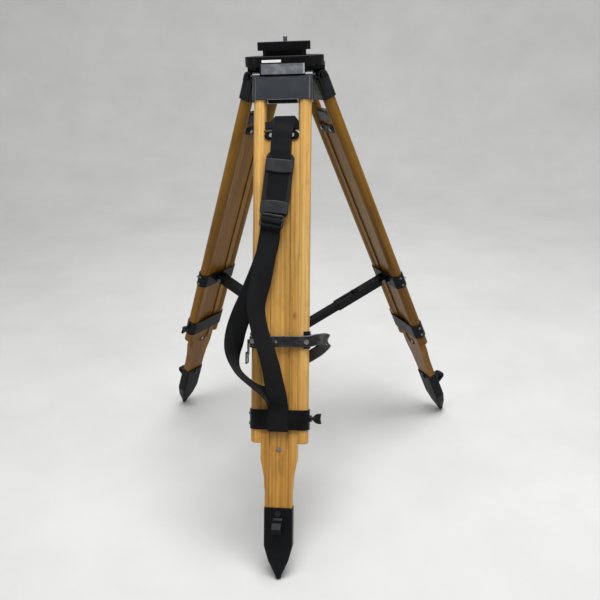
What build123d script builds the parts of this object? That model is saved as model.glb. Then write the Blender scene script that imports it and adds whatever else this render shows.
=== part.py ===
from build123d import *
import math
import os

os.makedirs("parts", exist_ok=True)

# Surveyor's tripod: wooden slide legs, flat head with an instrument stud, mid-level spreader,
# shoulder strap and leather closing belt on the front leg. Millimetres, +Z up.
# The tripod axis is the Z axis and the front leg stands toward -Y. Heights below are measured from
# the ground; every piece is saved with the origin moved up to the centre of the instrument seat.

# ---- stance ----
LEG_TILT = 22.5              # angle of each leg from the vertical
HINGE_RADIUS = 61.0          # leg hinge pin to tripod axis
HINGE_HEIGHT = 1030.0        # leg hinge pin above the floor
LEGS = [("front", 0.0), ("right", 120.0), ("left", -120.0)]

# ---- rails (round rods) ----
RAIL_R = 14.5
RAIL_X = 50.0
RAIL_TOP = 20.0
RAIL_END = 811.0
FIT = 0.05                   # radial running clearance

# ---- sliding board ----
BOARD_HALF = 41.0
BOARD_HALF_THICK = 10.0
BOARD_TOP = 126.0
BOARD_TAPER_START = 846.0
BOARD_TAPER_END = 912.0
BOARD_FOOT_HALF = 30.5
BOARD_END = 1028.0
GROOVE_HALF = 21.5
GROOVE_DEPTH = 3.5
GROOVE_END = 831.5

# ---- hinge casting ----
CAST_HALF = 67.8
CAST_N = 17.0
CAST_START = 5.0
CAST_END = 54.0
CAST_CORNER = 12.8
CHEEK_R = 12.0
CHEEK_X = 40.0
PIN_R = 5.0

# ---- fittings along the leg ----
BRIDGE_CROWN = 90.0           # top of the raised middle that carries the strap
BRIDGE_START = 102.0
BRIDGE_END = 118.0
GUIDE_START = 123.0
GUIDE_END = 142.0
GUIDE_BOLT_T = 23.5
BAND_START = 563.0
BAND_END = 601.0
COLLAR_START = 736.0
COLLAR_END = 780.0
SLEEVE_IN_X = 64.7
SLEEVE_IN_N = 14.7
SLEEVE_WALL = 2.4
KNOB_S = 756.0

# ---- spreader ----
ARM_PIVOT_S = 582.0
ARM_PIVOT_N = -30.0
HUB_PIVOT_R = 24.0
HUB_Z = 393.0
ARM_HALF_W = 12.5
ARM_HALF_H = 11.0
ARM_WALL = 1.8
ARM_OUTER_END = 146.0
ARM_INNER_START = 82.0
LOCK_Y = 87.0
HUB_PIN_R = 3.0
OPEN_EYE_R = 6.6             # oversize eyes of the right and left arms take up the folding error

# ---- shoe ----
SHOE_START = 953.0
SHOE_STRAIGHT_END = 1038.0
SHOE_HALF = 32.0
SHOE_HALF_THICK = 14.0
TIP_R = 7.0

# ---- head ----
HEAD_BOTTOM = 1052.0
HEAD_TOP = 1073.5
HEAD_CORNER_R = 44.0
HEAD_CORNER_D = 52.0
BOSS_FACE_R = 74.5
BOSS_HALF = 50.0
BOSS_TOP = 1058.5
LUG_HALF = 39.4
LUG_R = 11.0
PLATE_BOTTOM = 1085.0
PLATE_TOP = 1103.0
PLATE_CORNER_R = 12.0
PLATE_CORNER_D = 55.0
NECK_CORNER_D = 43.0
SCREW_R = 4.7                # instrument screw, 3/8 inch
SCREW_TOP = 1114.0
SHANK_R = 4.2                # plain shank below the seat
SCREW_KNOB_R = 15.0
SCREW_KNOB_BOTTOM = 1033.0

# ---- webbing and leather ----
WEB_HALF = 22.5
WEB_T = 1.8
BELT_HALF = 12.5
BELT_T = 3.0

tilt = math.radians(LEG_TILT)
sin_tilt = math.sin(tilt)
cos_tilt = math.cos(tilt)
arm_pivot_r = HINGE_RADIUS + ARM_PIVOT_S * sin_tilt + ARM_PIVOT_N * cos_tilt
arm_pivot_z = HINGE_HEIGHT - ARM_PIVOT_S * cos_tilt + ARM_PIVOT_N * sin_tilt
ARM_LENGTH = math.hypot(arm_pivot_r - HUB_PIVOT_R, arm_pivot_z - HUB_Z)
ARM_SLOPE = math.degrees(math.atan2(arm_pivot_z - HUB_Z, arm_pivot_r - HUB_PIVOT_R))
TIP_S = (HINGE_HEIGHT - TIP_R) / cos_tilt


# Leg coordinates: t across the leg, n outward from its face, s down its length from the hinge pin.
def block(t0, t1, n0, n1, s0, s1):
    size = (abs(t1 - t0), abs(n1 - n0), abs(s1 - s0))
    return Pos((t0 + t1) / 2, -(n0 + n1) / 2, -(s0 + s1) / 2) * Box(*size)


def rod_s(t, n, s0, s1, r):
    return Pos(t, -n, -(s0 + s1) / 2) * Cylinder(r, abs(s1 - s0))


def rod_t(t0, t1, n, s, r):
    return Pos((t0 + t1) / 2, -n, -s) * Rot(0, 90, 0) * Cylinder(r, abs(t1 - t0))


def rod_n(t, n0, n1, s, r):
    return Pos(t, -(n0 + n1) / 2, -s) * Rot(90, 0, 0) * Cylinder(r, abs(n1 - n0))


def side_profile(points, t0, t1):
    """Closed outline given as (n, s) points, thickened across the leg from t0 to t1."""
    face = make_face(Polyline(*[(0, -n, -s) for n, s in points], close=True))
    return Pos(t0, 0, 0) * extrude(face, amount=t1 - t0, dir=(1, 0, 0))


def front_profile(points, n0, n1):
    """Closed outline given as (t, s) points, thickened from n0 to n1."""
    face = make_face(Polyline(*[(t, 0, -s) for t, s in points], close=True))
    return Pos(0, -n0, 0) * extrude(face, amount=n1 - n0, dir=(0, -1, 0))


def sleeve(s0, s1, half_t, half_n):
    """Solid with stadium-shaped section, filling the space a wrapped strip encloses."""
    core = block(-half_t + half_n, half_t - half_n, -half_n, half_n, s0, s1)
    left = rod_s(-half_t + half_n, 0, s0, s1, half_n)
    right = rod_s(half_t - half_n, 0, s0, s1, half_n)
    return core + left + right


def on_leg(shape, azimuth):
    return Rot(0, 0, azimuth) * Pos(0, -HINGE_RADIUS, HINGE_HEIGHT) * Rot(-LEG_TILT, 0, 0) * shape


def on_arm(shape, azimuth):
    """Arm coordinates: x across, y from the leg pivot toward the hub, z up from the arm."""
    return Rot(0, 0, azimuth) * Pos(0, -arm_pivot_r, arm_pivot_z) * Rot(-ARM_SLOPE, 0, 0) * shape


def slab(x0, x1, y0, y1, z0, z1):
    size = (abs(x1 - x0), abs(y1 - y0), abs(z1 - z0))
    return Pos((x0 + x1) / 2, (y0 + y1) / 2, (z0 + z1) / 2) * Box(*size)


def seated(shape):
    """Moves a piece down so that the instrument seat is at Z = 0."""
    return Pos(0, 0, -PLATE_TOP) * (Part() + shape)


def save(shape, name):
    export_step(seated(shape), "parts/" + name + ".step")


def save_group(solids, name):
    export_step(Compound(label=name, children=[seated(one) for one in solids]), "parts/" + name + ".step")


# ------------------------------------------------------------------ leg pieces
def make_rail(side):
    rail = rod_s(side * RAIL_X, 0, RAIL_TOP, RAIL_END, RAIL_R)
    rail = chamfer(rail.edges().sort_by(Axis.Z)[0], 2.0)
    slot_half = BOARD_HALF_THICK + 0.35
    slot = block(side * 30.0, side * (BOARD_HALF + 0.4), -slot_half, slot_half, BRIDGE_END + 2, RAIL_END + 1)
    return rail - slot


def make_casting():
    body = block(-CAST_HALF, CAST_HALF, -CAST_N, CAST_N, CAST_START, CAST_END)
    body = fillet(body.edges().filter_by(Axis.Z), CAST_CORNER)
    body = body + rod_t(-CAST_HALF + 1, CAST_HALF - 1, 0, 0, CHEEK_R)
    body = body + block(-CAST_HALF + 1, CAST_HALF - 1, -CHEEK_R, CHEEK_R, 0, 12)
    body = body - block(-CHEEK_X, CHEEK_X, -CAST_N - 1, CAST_N - 4, -20, 15)
    body = body - block(-CHEEK_X, CHEEK_X, -CAST_N - 1, CAST_N + 1, -20, CAST_START)
    body = body - block(-33, 33, -13, 13, 19, CAST_END + 1)
    for side in (-1, 1):
        body = body - rod_s(side * RAIL_X, 0, RAIL_TOP - 0.5, CAST_END + 1, RAIL_R)
    body = body - rod_t(-CAST_HALF - 1, CAST_HALF + 1, 0, 0, PIN_R + FIT)
    return body


def make_bridge():
    outline = [(-38, BRIDGE_START), (-26, BRIDGE_START - 1.5), (-17.5, BRIDGE_CROWN), (29.5, BRIDGE_CROWN)]
    outline += [(37, BRIDGE_START - 1.5), (38, BRIDGE_START), (38, BRIDGE_END), (-38, BRIDGE_END)]
    bar = front_profile(outline, -8, 8)
    bar = fillet(bar.edges().filter_by(Axis.X), 3.0)
    for side in (-1, 1):
        bar = bar - rod_s(side * RAIL_X, 0, BRIDGE_CROWN, BRIDGE_END + 5, RAIL_R)
    return bar


def make_board():
    outline = [
        (-BOARD_HALF, BOARD_TOP),
        (BOARD_HALF, BOARD_TOP),
        (BOARD_HALF, BOARD_TAPER_START),
        (BOARD_FOOT_HALF + 2.5, BOARD_TAPER_START + 40),
        (BOARD_FOOT_HALF, BOARD_TAPER_END + 10),
        (BOARD_FOOT_HALF, BOARD_END),
        (-BOARD_FOOT_HALF, BOARD_END),
        (-BOARD_FOOT_HALF, BOARD_TAPER_END + 10),
        (-BOARD_FOOT_HALF - 2.5, BOARD_TAPER_START + 40),
        (-BOARD_HALF, BOARD_TAPER_START),
    ]
    board = front_profile(outline, -BOARD_HALF_THICK, BOARD_HALF_THICK)
    floor = BOARD_HALF_THICK - GROOVE_DEPTH
    for side in (-1, 1):
        n0 = min(side * floor, side * (BOARD_HALF_THICK + 1))
        n1 = max(side * floor, side * (BOARD_HALF_THICK + 1))
        centre = GROOVE_END - GROOVE_HALF
        board = board - block(-GROOVE_HALF, GROOVE_HALF, n0, n1, BOARD_TOP - 1, centre)
        board = board - rod_n(0, n0, n1, centre, GROOVE_HALF)
    for t in (-GUIDE_BOLT_T, GUIDE_BOLT_T):
        board = board - rod_n(t, -30, 30, 132.5, 2.5)
    board = board - rod_n(0, -30, 30, 824.5, 2.5)
    board = board - rod_n(0, -30, 30, 965.5, 3.0)
    return board


def make_guide(side):
    n0 = BOARD_HALF_THICK
    n1 = BOARD_HALF_THICK + 3.2
    mid = (GUIDE_START + GUIDE_END) / 2
    half = (GUIDE_END - GUIDE_START) / 2
    if side < 0:
        n0 = -n1
        n1 = -BOARD_HALF_THICK
    plate = block(-38.5 + half, 38.5 - half, n0, n1, GUIDE_START, GUIDE_END)
    plate = plate + rod_n(-38.5 + half, n0, n1, mid, half)
    plate = plate + rod_n(38.5 - half, n0, n1, mid, half)
    for t in (-GUIDE_BOLT_T, GUIDE_BOLT_T):
        plate = plate - rod_n(t, -30, 30, 132.5, 2.5)
    return plate


def make_board_fasteners():
    out = []
    for t in (-GUIDE_BOLT_T, GUIDE_BOLT_T):
        bolt = rod_n(t, -15.8, 13.2, 132.5, 2.5)
        bolt = bolt + rod_n(t, 13.2, 16.0, 132.5, 4.6)
        out.append(bolt + rod_n(t, -16.0, -13.2, 132.5, 4.6))
    stop = rod_n(0, -9.0, 6.5, 824.5, 2.5) + rod_n(0, 6.5, 9.2, 824.5, 5.0)
    out.append(stop + rod_n(0, -9.2, -6.5, 824.5, 5.0))
    shoe_bolt = rod_n(0, -14.0, 14.0, 965.5, 3.0) + rod_n(0, 14.0, 17.5, 965.5, 6.0)
    out.append(shoe_bolt + rod_n(0, -18.0, -14.0, 965.5, 6.0))
    return out


def make_band():
    outer = sleeve(BAND_START, BAND_END, SLEEVE_IN_X + SLEEVE_WALL, SLEEVE_IN_N + SLEEVE_WALL)
    band = outer - sleeve(BAND_START - 1, BAND_END + 1, SLEEVE_IN_X, SLEEVE_IN_N)
    band = band - block(-53, 53, 0, 30, BAND_START - 1, BAND_END + 1)
    for side in (-1, 1):
        t0 = side * (ARM_HALF_W + 0.4)
        t1 = side * (ARM_HALF_W + 3.6)
        ear = rod_t(t0, t1, ARM_PIVOT_N, ARM_PIVOT_S, 9.5)
        foot = block(t0, t1, ARM_PIVOT_N, -SLEEVE_IN_N - 1, ARM_PIVOT_S - 9.5, ARM_PIVOT_S + 9.5)
        band = band + (ear + foot)
    return band - rod_t(-40, 40, ARM_PIVOT_N, ARM_PIVOT_S, 4.0)


def make_collar():
    outer = sleeve(COLLAR_START, COLLAR_END, SLEEVE_IN_X + SLEEVE_WALL, SLEEVE_IN_N + SLEEVE_WALL)
    collar = outer - sleeve(COLLAR_START - 1, COLLAR_END + 1, SLEEVE_IN_X, SLEEVE_IN_N)
    boss = rod_t(SLEEVE_IN_X + 0.5, 71.5, 0, KNOB_S, 7.0)
    collar = collar + boss
    return collar - rod_t(SLEEVE_IN_X - 3, 80, 0, KNOB_S, 3.0 + FIT)


def make_clamp_screw():
    """Winged thumbscrew that squeezes the collar on the rails and board."""
    screw = rod_t(SLEEVE_IN_X + 0.4, 76, 0, KNOB_S, 3.0)
    screw = screw + rod_t(73, 79, 0, KNOB_S, 4.8)
    wing = [(74, -3.5), (80, -9.5), (86, -11), (92.5, -11), (90.5, 0), (92.5, 11), (86, 11), (80, 9.5), (74, 3.5)]
    return screw + front_profile([(t, KNOB_S + ds) for t, ds in wing], -3.0, 3.0)


def make_rail_fasteners(with_lip_rivets):
    outside = SLEEVE_IN_X + SLEEVE_WALL
    lip = SLEEVE_IN_N + SLEEVE_WALL
    filled = sleeve(BAND_START, COLLAR_END, outside, lip)
    out = []
    for side in (-1, 1):
        out.append(rod_t(side * 13.3, side * 18.6, ARM_PIVOT_N, ARM_PIVOT_S, 4.0)
                   + rod_t(side * 18.6, side * 21.0, ARM_PIVOT_N, ARM_PIVOT_S, 6.0))
        for s in (BAND_START + 8, BAND_END - 8):
            out.append(rod_t(side * (outside - 2), side * (outside + 1.6), 0, s, 3.0) - filled)
        if with_lip_rivets:
            out.append(rod_n(side * 58, lip - 6, lip + 1.5, 582, 2.8) - filled)
    for s in (COLLAR_START + 11, COLLAR_END - 11):
        out.append(rod_t(-(outside - 2), -(outside + 1.8), 0, s, 3.4) - filled)
    return out


def make_shoe():
    body = block(-SHOE_HALF, SHOE_HALF, -SHOE_HALF_THICK, SHOE_HALF_THICK, SHOE_START, SHOE_STRAIGHT_END)
    body = fillet(body.edges().filter_by(Axis.Z), 5.0)
    top = Plane((0, 0, -SHOE_STRAIGHT_END)) * RectangleRounded(2 * SHOE_HALF, 2 * SHOE_HALF_THICK, 5.0)
    mid = Plane((0, 0, -(SHOE_STRAIGHT_END + 34))) * RectangleRounded(45, 23, 5.0)
    low = Plane((0, 0, -TIP_S)) * RectangleRounded(13.4, 13.4, 6.6)
    body = body + loft([top, mid], ruled=True) + loft([mid, low], ruled=True)
    body = body + Pos(0, 0, -TIP_S) * Sphere(TIP_R)
    pocket_t = BOARD_FOOT_HALF + 0.02
    pocket_n = BOARD_HALF_THICK + 0.02
    body = body - block(-pocket_t, pocket_t, -pocket_n, pocket_n, SHOE_START - 1, BOARD_END)
    return body - rod_n(0, -30, 30, 965.5, 3.0)


def make_pedal():
    """Foot step bolted to the outer face of the shoe."""
    outline = [(14.0, 975), (17.0, 974), (20, 978), (36, 979), (46, 989), (43, 999), (24, 1008), (14.0, 1012)]
    pedal = side_profile(outline, -9.5, 9.5)
    cut = [(24, 989), (38, 990), (37, 996), (24, 1001)]
    return pedal - side_profile(cut, -12, -3) - side_profile(cut, 3, 12)


# ------------------------------------------------------------------ spreader pieces
def make_arm_outer():
    tube = slab(-ARM_HALF_W, ARM_HALF_W, 0, ARM_OUTER_END, -ARM_HALF_H, ARM_HALF_H)
    tube = tube + Rot(0, 90, 0) * Cylinder(ARM_HALF_H, 2 * ARM_HALF_W)
    in_w = ARM_HALF_W - ARM_WALL
    in_h = ARM_HALF_H - ARM_WALL
    tube = tube - slab(-in_w, in_w, -20, ARM_OUTER_END + 1, -in_h, in_h)
    tube = tube - Rot(0, 90, 0) * Cylinder(4.0 + FIT, 60)
    tube = tube - slab(-2.5, 2.5, 100, 128, 5, 20)
    return tube - Pos(0, LOCK_Y, 10) * Cylinder(2.5 + FIT, 12)


def make_arm_inner(eye_radius):
    half_w = ARM_HALF_W - ARM_WALL - 0.25
    half_h = ARM_HALF_H - ARM_WALL - 0.25
    end = ARM_LENGTH + 8
    bar = slab(-half_w, half_w, ARM_INNER_START, end, -half_h, half_h)
    bar = bar - slab(-half_w + 2, half_w - 2, ARM_INNER_START - 1, end + 1, -half_h - 1, half_h - 2)
    bar = bar - slab(-half_w + 2, half_w - 2, ARM_LENGTH - 14, end + 1, -half_h - 1, half_h + 1)
    return bar - Pos(0, ARM_LENGTH, 0) * Rot(0, 90, 0) * Cylinder(eye_radius, 60)


def make_lock():
    """Small thumb lever that locks the arm's two channels together."""
    knob = Pos(0, LOCK_Y, 10.4) * Cylinder(2.5, 2.2) + Pos(0, LOCK_Y, 14.0) * Cylinder(5.0, 5.6)
    return knob + slab(-2, 2, LOCK_Y - 14, LOCK_Y, 13.5, 16.8)


def make_hub():
    hub = Pos(0, 0, HUB_Z) * Cylinder(10.0, 22.0)
    for name, azimuth in LEGS:
        tongue = slab(-6.4, 6.4, -HUB_PIVOT_R, -4, -6.5, 6.5)
        tongue = tongue + Pos(0, -HUB_PIVOT_R, 0) * Rot(0, 90, 0) * Cylinder(6.5, 12.8)
        hub = hub + Rot(0, 0, azimuth) * Pos(0, 0, HUB_Z) * tongue
    for name, azimuth in LEGS:
        bore = Pos(0, -HUB_PIVOT_R, HUB_Z) * Rot(0, 90, 0) * Cylinder(HUB_PIN_R, 60)
        hub = hub - Rot(0, 0, azimuth) * bore
    return hub


def make_hub_pins():
    out = []
    for name, azimuth in LEGS:
        pin = Rot(0, 90, 0) * Cylinder(HUB_PIN_R, 29.0)
        for side in (-1, 1):
            pin = pin + Pos(side * 13.6, 0, 0) * Rot(0, 90, 0) * Cylinder(7.5, 1.8)
        pin = Pos(0, -HUB_PIVOT_R, HUB_Z) * pin
        out.append(Rot(0, 0, azimuth) * pin)
    return out


# ------------------------------------------------------------------ head pieces
def rounded_triangle(distance, radius, z0, z1):
    """Triangle with corners between the legs and flats facing them."""
    with BuildSketch(Plane((0, 0, z0))) as sketch:
        with PolarLocations(distance, 3, start_angle=-30):
            Circle(radius)
        make_hull()
    return extrude(sketch.sketch, amount=z1 - z0)


def make_head():
    head = rounded_triangle(HEAD_CORNER_D, HEAD_CORNER_R, HEAD_BOTTOM, HEAD_TOP)
    head = fillet(head.edges().group_by(Axis.Z)[-1], 2.0)
    for name, azimuth in LEGS:
        boss = slab(-BOSS_HALF, BOSS_HALF, -BOSS_FACE_R, -48, 1044, HEAD_BOTTOM + 0.5)
        boss = boss + slab(-BOSS_HALF, BOSS_HALF, -BOSS_FACE_R, -66, 1044, BOSS_TOP)
        boss = boss + slab(-BOSS_HALF, BOSS_HALF, -BOSS_FACE_R, -73.2, 1034.5, 1045)
        boss = boss + slab(-LUG_HALF, LUG_HALF, -HINGE_RADIUS - LUG_R, -HINGE_RADIUS + LUG_R, HINGE_HEIGHT, 1045)
        boss = boss + Pos(0, -HINGE_RADIUS, HINGE_HEIGHT) * Rot(0, 90, 0) * Cylinder(LUG_R, 2 * LUG_HALF)
        boss = boss - Pos(0, -HINGE_RADIUS, HINGE_HEIGHT) * Rot(0, 90, 0) * Cylinder(PIN_R, 120)
        head = head + Rot(0, 0, azimuth) * boss
    return head - Pos(0, 0, HEAD_BOTTOM) * Cylinder(SCREW_R + FIT, 80.0)


def make_instrument_plate():
    plate = rounded_triangle(PLATE_CORNER_D, PLATE_CORNER_R, PLATE_BOTTOM, PLATE_TOP)
    plate = chamfer(plate.edges().group_by(Axis.Z)[-1], 1.0)
    plate = plate + rounded_triangle(NECK_CORNER_D, PLATE_CORNER_R, HEAD_TOP, PLATE_BOTTOM)
    return plate - Pos(0, 0, PLATE_TOP) * Cylinder(SCREW_R + FIT, 80.0)


def make_instrument_screw():
    """Captive screw through the head, turned by a fluted knob underneath."""
    stud = SCREW_TOP - PLATE_TOP
    screw = Pos(0, 0, PLATE_TOP + stud / 2) * Cylinder(SCREW_R, stud)
    screw = chamfer(screw.edges().sort_by(Axis.Z)[-1], 1.0)
    shank = PLATE_TOP - SCREW_KNOB_BOTTOM
    screw = screw + Pos(0, 0, SCREW_KNOB_BOTTOM + shank / 2) * Cylinder(SHANK_R, shank)
    knob = Pos(0, 0, SCREW_KNOB_BOTTOM + 8.5) * Cylinder(SCREW_KNOB_R, 17.0)
    for i in range(8):
        flute = Pos(SCREW_KNOB_R + 1.5, 0, SCREW_KNOB_BOTTOM + 8.5) * Cylinder(3.0, 18.0)
        knob = knob - Rot(0, 0, 45 * i) * flute
    return screw + knob


def make_hinge_pins():
    out = []
    for name, azimuth in LEGS:
        pin = rod_t(-72.5, 72.5, 0, 0, PIN_R)
        for side in (-1, 1):
            pin = pin + rod_t(side * 68.2, side * 72.5, 0, 0, 7.2)
        out.append(Rot(0, 0, azimuth) * Pos(0, -HINGE_RADIUS, HINGE_HEIGHT) * pin)
    return out


def make_labels():
    back = -BOSS_FACE_R
    outline = [(-46.5, back), (-46.5, back - 0.7), (-45.7, back - 1.5), (46, back - 1.5), (50, back - 0.3), (50, back)]
    with BuildSketch(Plane((0, 0, 1037.0))) as sketch:
        Polygon(*outline, align=None)
    face = extrude(sketch.sketch, amount=BOSS_TOP - 0.3 - 1037.0)
    flat = HEAD_CORNER_D / 2 + HEAD_CORNER_R
    sticker = slab(-45, -2, -flat - 0.3, -flat, 1060.8, 1066.2)
    return [face, sticker]


# ------------------------------------------------------------------ webbing, pad and belt
def bend(t, s, n, radius, start, end):
    """Stations on an arc about (s, n); the angle runs from +n toward +s."""
    out = []
    for i in range(5):
        turn = math.radians(start + (end - start) * i / 4)
        out.append((t, s + radius * math.sin(turn), n + radius * math.cos(turn), 0))
    return out


def ribbon(stations, half_width, thickness, width_axis):
    """Flat band through (t, s, n, twist) centres; twist lifts the +width edge outward, in degrees."""
    points = [Vector(t, -n, -s) for t, s, n, twist in stations]
    outward = Vector(0, -1, 0)
    rings = []
    for i, station in enumerate(stations):
        before = points[max(i - 1, 0)]
        after = points[min(i + 1, len(points) - 1)]
        along = (after - before).normalized()
        flat = along - outward * along.dot(outward)
        base = width_axis
        if flat.length > 0.3:
            level = flat.normalized()
            square = width_axis - level * width_axis.dot(level)
            if square.length > 0.5:
                base = square.normalized()
        turn = math.radians(station[3])
        across = base * math.cos(turn) + outward * math.sin(turn)
        across = (across - along * across.dot(along)).normalized() * half_width
        thick = along.cross(across).normalized() * (thickness / 2)
        here = points[i]
        rings.append([here - across - thick, here + across - thick, here + across + thick, here - across + thick])
    faces = [Face(Wire.make_polygon(rings[0], close=True)), Face(Wire.make_polygon(rings[-1], close=True))]
    # front and back are split along the same diagonal, so a twisted stretch keeps its thickness
    for ring, following in zip(rings, rings[1:]):
        for k, m in ((0, 1), (1, 2), (3, 2), (0, 3)):
            faces.append(Face(Wire.make_polygon([ring[k], ring[m], following[m]], close=True)))
            faces.append(Face(Wire.make_polygon([ring[k], following[m], following[k]], close=True)))
    return Solid(Shell(faces))


def make_strap():
    corner = 3.0 + 0.35 + WEB_T / 2
    path = [(6, 119.35, 12.0, 0)]
    path += bend(6, BRIDGE_END - 3, -5, corner, 90, 180)
    path += bend(6, BRIDGE_CROWN + 3, -5, corner, 180, 270)
    path += bend(6, BRIDGE_CROWN + 3, 5, corner, 270, 360)
    path += [(5.5, 105, 10.2, 0), (4.5, 112, 12.8, 0), (3, 119, 16.2, 0), (2, 126, 18.4, 0)]
    # over the guide plate and through the two loops of the pad
    path += [(0, 142, 18.9, 0), (-0.8, 157, 21, 0), (-1, 167, 22.9, 0), (-1.2, 182, 22.9, 0), (-15.1, 306, 22.9, 0)]
    # woven over the middle bar of the adjuster
    path += [(-16, 311.5, 25.0, 0), (-17.4, 319.2, 31.8, 0), (-18.5, 325.8, 31.8, 0), (-20, 333.8, 25.0, 0)]
    # front fall, bowed to the left and turned on edge before it crosses the collar
    path += [(-22.2, 346, 24, 0), (-28, 380, 25, 0), (-33, 412, 27, -2), (-40, 454, 31, -12)]
    path += [(-47, 485, 35, -27), (-49, 510, 38, -37), (-46, 535, 39, -42), (-40, 560, 40, -44)]
    path += [(-31, 588, 40, -44), (-23, 611, 39.5, -43), (-16, 636, 38, -40), (-11, 661, 36, -35)]
    path += [(-6, 688, 33, -28), (-3, 706, 30, -20), (-2, 721, 24.5, -8), (-1.7, 733, 19.4, 0)]
    # down the front of the collar, under it and up behind it
    path += bend(-1.7, COLLAR_END + 0.8, 15.5, 2.9, 0, 180)
    path += [(-1.7, 742, 12.6, 0), (-1.8, 735, 12.8, 0)]
    # back fall: out past the left rail, a half curl, then up behind the front fall
    path += [(-3, 725, 13.8, -6), (-9, 715, 18, -24), (-18, 705, 26, -50), (-32, 694, 35, -74)]
    path += [(-53, 680, 38.5, -84)]
    path += [(-77, 663, 34, -86), (-92, 648, 28, -84), (-100, 631, 24, -72), (-103, 613, 21, -54)]
    path += [(-101, 588, 20, -28), (-96, 561, 20, -16), (-85, 528, 20, -8), (-71, 495, 20, 0)]
    path += [(-54, 454, 20, 0), (-38, 413, 20, 0), (-26, 375, 20, 0), (-22, 349, 20, 0)]
    return ribbon(path, WEB_HALF, WEB_T, Vector(1, 0, 0))


def on_face(t, s, turn):
    """Frame lying on the leg's front: x across, y inward, z up, turned in the face plane."""
    return Pos(t, 0, -s) * Rot(0, turn, 0)


def make_pad():
    """Shoulder pad with a loop at each end that the webbing threads."""
    length = 142.0
    outline = Plane.XZ * RectangleRounded(67, length, 10)
    pad = Pos(0, -18.2, 0) * extrude(outline, amount=3.4)
    for z in (43.0, -50.0):
        band = slab(-31, 31, -27.2, -21.0, z - 12.5, z + 12.5)
        band = fillet(band.edges().filter_by(Axis.Z).group_by(Axis.Y)[0], 3.0)
        pad = pad + band
        pad = pad - slab(-24.5, 24.5, -24.6, -21.6, z - 14, z + 14)
    return on_face(-8.0, 243.2, 6.5) * pad


def make_slider():
    """Three-bar adjuster the webbing is woven through."""
    outline = Plane.XZ * RectangleRounded(53, 29, 4)
    frame = Pos(0, -27.8, 0) * extrude(outline, amount=2.8)
    for z in (5.8, -5.8):
        frame = frame - slab(-23.6, 23.6, -40, 0, z - 4.0, z + 4.0)
    return on_face(-18.0, 322.5, 10.0) * frame


def make_belt():
    """Leather belt across the front of the band, with its free end looped round the right rail."""
    face_n = SLEEVE_IN_N + SLEEVE_WALL + BELT_T / 2
    path = [(-66, 587, face_n, 0), (66, 584, face_n, 0), (78, 581, 17.0, 0), (92, 579, 13.5, 0)]
    path += [(101, 579, 7.0, 0), (104, 583, -1.0, 0), (99, 592, -9.0, 0), (86, 605, -15.0, 0)]
    path += [(70, 616, -19.0, 0), (50, 628, -20.0, 0)]
    belt = ribbon(path, BELT_HALF, BELT_T, Vector(0, 0, -1))
    for t in (-60, 60):
        belt = belt - rod_n(t, 0, 40, 586, 2.8)
    return belt


def make_belt_hardware():
    """Roller buckle frame hanging by its keeper at the left, and the belt's rivets."""
    out = []
    lip = SLEEVE_IN_N + SLEEVE_WALL
    for t in (-60, 60):
        rivet = rod_n(t, lip, lip + BELT_T, 586, 2.8) + rod_n(t, lip + BELT_T, lip + BELT_T + 1.8, 586, 5.5)
        out.append(rivet)
    for t in (-17, -7):
        out.append(rod_n(t, lip + BELT_T, lip + BELT_T + 1.4, 586.5, 3.0))
    plate = block(-73.5, -71.0, -8, 8, 583, 618)
    keeper = plate + block(-73.5, -68.7, -8, 8, 583, 592)
    out.append(keeper)
    ring = block(-76.5, -73.5, -13, 13, 611, 637) - block(-80, -70, -10, 10, 614, 634)
    out.append(ring + rod_n(-75, -13, 13, 622, 1.5))
    return out


# ------------------------------------------------------------------ write every piece
save(make_head(), "head_plate")
save(make_instrument_plate(), "instrument_plate")
save(make_instrument_screw(), "instrument_screw")
save_group(make_labels(), "head_labels")
save_group(make_hinge_pins(), "hinge_pins")
save(make_hub(), "hub")
save_group(make_hub_pins(), "hub_pins")

casting = make_casting()
board = make_board()
shoe = make_shoe()
band = make_band()
collar = make_collar()
for name, azimuth in LEGS:
    tag = "_" + name
    save(on_leg(make_rail(-1), azimuth), "rail_a" + tag)
    save(on_leg(make_rail(1), azimuth), "rail_b" + tag)
    save(on_leg(casting, azimuth), "hinge_casting" + tag)
    save(on_leg(make_bridge(), azimuth), "bridge" + tag)
    save(on_leg(band, azimuth), "spreader_band" + tag)
    save(on_leg(collar, azimuth), "clamp_collar" + tag)
    save(on_leg(make_clamp_screw(), azimuth), "clamp_screw" + tag)
    rivets = make_rail_fasteners(name != "front")
    save_group([on_leg(one, azimuth) for one in rivets], "rail_fasteners" + tag)
    save(on_leg(board, azimuth), "board" + tag)
    save_group([on_leg(make_guide(side), azimuth) for side in (-1, 1)], "guide_plates" + tag)
    save_group([on_leg(one, azimuth) for one in make_board_fasteners()], "board_fasteners" + tag)
    save(on_leg(shoe, azimuth), "shoe" + tag)
    save(on_leg(make_pedal(), azimuth), "foot_pedal" + tag)
    eye = HUB_PIN_R + FIT if name == "front" else OPEN_EYE_R
    save(on_arm(make_arm_outer(), azimuth), "arm_outer" + tag)
    save(on_arm(make_arm_inner(eye), azimuth), "arm_inner" + tag)
    save(on_arm(make_lock(), azimuth), "arm_lock" + tag)

save(on_leg(make_strap(), 0), "shoulder_strap")
save(on_leg(make_pad(), 0), "shoulder_pad")
save(on_leg(make_slider(), 0), "strap_adjuster")
save(on_leg(make_belt(), 0), "closing_belt")
save_group([on_leg(one, 0) for one in make_belt_hardware()], "belt_hardware")
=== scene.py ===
import math

import bpy
import numpy as np
from mathutils import Matrix, Vector


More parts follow.
